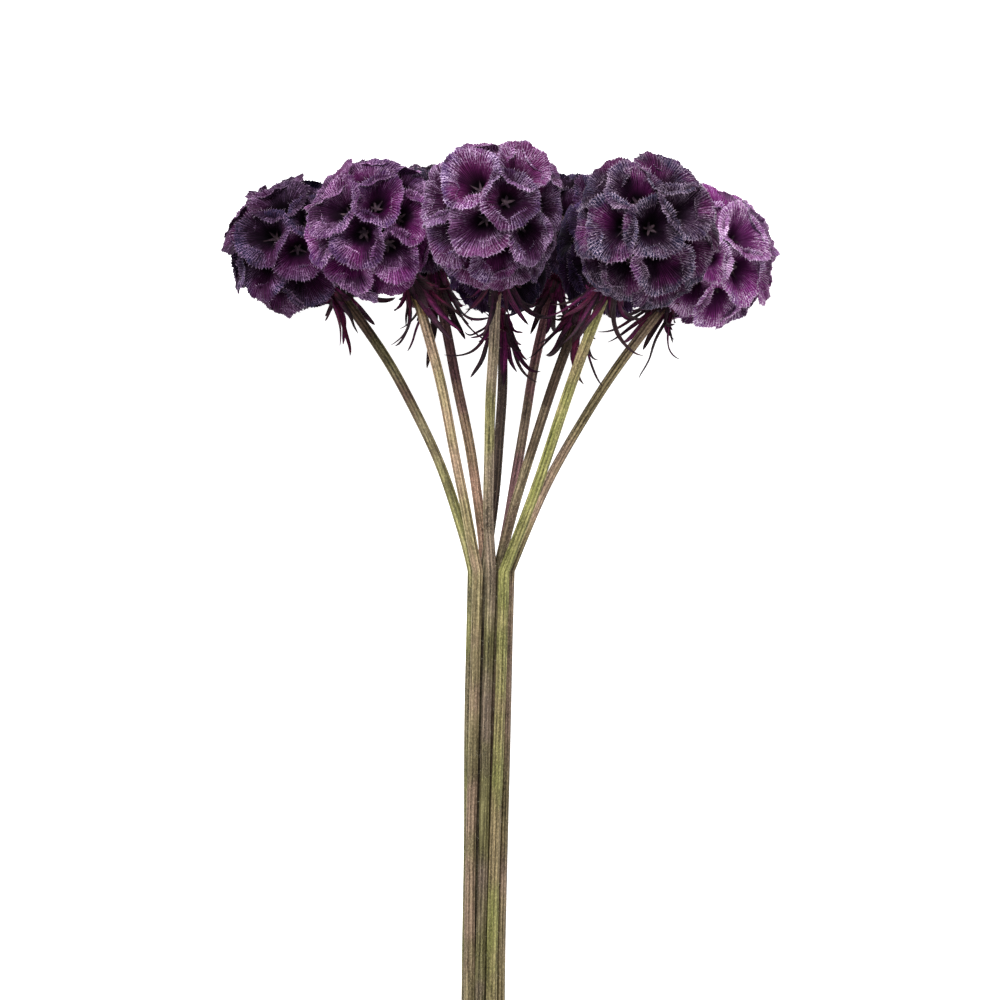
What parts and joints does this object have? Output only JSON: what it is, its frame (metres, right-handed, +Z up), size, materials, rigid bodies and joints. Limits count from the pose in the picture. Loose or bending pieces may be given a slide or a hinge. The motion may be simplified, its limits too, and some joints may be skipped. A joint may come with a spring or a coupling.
{
  "type": "preserved scabiosa pod bunch",
  "caption": "Lying bunch of dried scabiosa seed heads: balls of papery ribbed cups with pointed bracts on thin ribbed stems, gathered by a plain band.",
  "frame": {"origin": "on the surface that the bunch lies on, under the middle of its box", "axes": "+Y along the stems towards the heads, +X to the right seen from above with the heads away, +Z up"},
  "size_m": [0.1482, 0.4, 0.0978],
  "materials": {
    "pod": "matt papery cups, plum to lilac, dark in the throats",
    "bract": "matt dry leaf, plum to olive",
    "stem": "satin dry stem, olive, tan and brown with fine ribs",
    "band": "matt natural rubber"
  },
  "bodies": {
    "root": {"pod_far_left": "pod", "pod_rear_left": "pod", "pod_rear_right": "pod", "pod_far_right": "pod", "pod_inner": "pod", "pod_inner_right": "pod", "pod_left": "pod", "pod_centre": "pod", "pod_right": "pod", "bracts_far_left": "bract", "bracts_rear_left": "bract", "bracts_rear_right": "bract", "bracts_far_right": "bract", "bracts_inner": "bract", "bracts_inner_right": "bract", "bracts_left": "bract", "bracts_centre": "bract", "bracts_right": "bract", "stem_far_left": "stem", "stem_rear_left": "stem", "stem_rear_right": "stem", "stem_far_right": "stem", "stem_inner": "stem", "stem_inner_right": "stem", "stem_left": "stem", "stem_centre": "stem", "stem_right": "stem", "tie": "band"}
  },
  "joints": []
}
